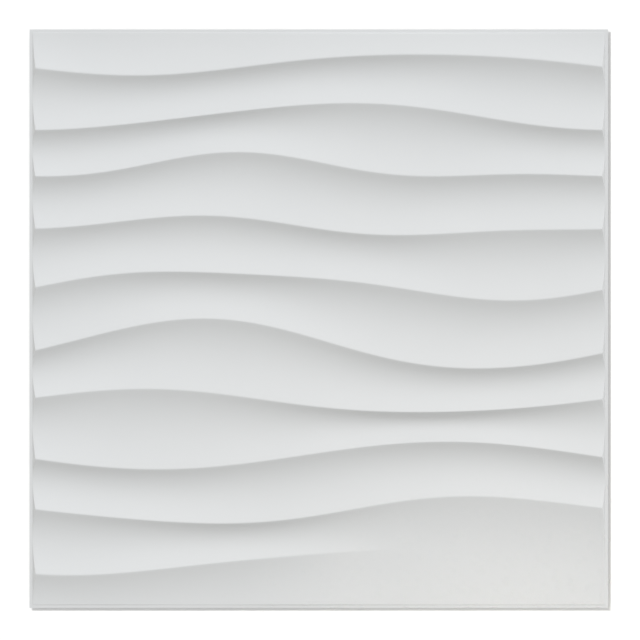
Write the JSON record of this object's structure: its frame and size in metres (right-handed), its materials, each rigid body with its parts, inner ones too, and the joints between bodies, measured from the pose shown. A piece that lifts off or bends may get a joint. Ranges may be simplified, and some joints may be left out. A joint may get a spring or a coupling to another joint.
{
  "type": "3d wall panel tile",
  "caption": "Square formed plastic wall panel with a relief of rolling horizontal wave ridges, a hollow back and a thin flat lip all round.",
  "frame": {"origin": "middle of the panel's back, in the plane of the wall that its lip lies on", "axes": "+Z out of the wall, towards the relief; +Y up the wall; +X to the right along the wave crests, seen from the front"},
  "size_m": [0.5, 0.5, 0.0092],
  "materials": {
    "white_pvc": "matte"
  },
  "bodies": {
    "root": {"wave_panel": "white_pvc"}
  },
  "joints": []
}
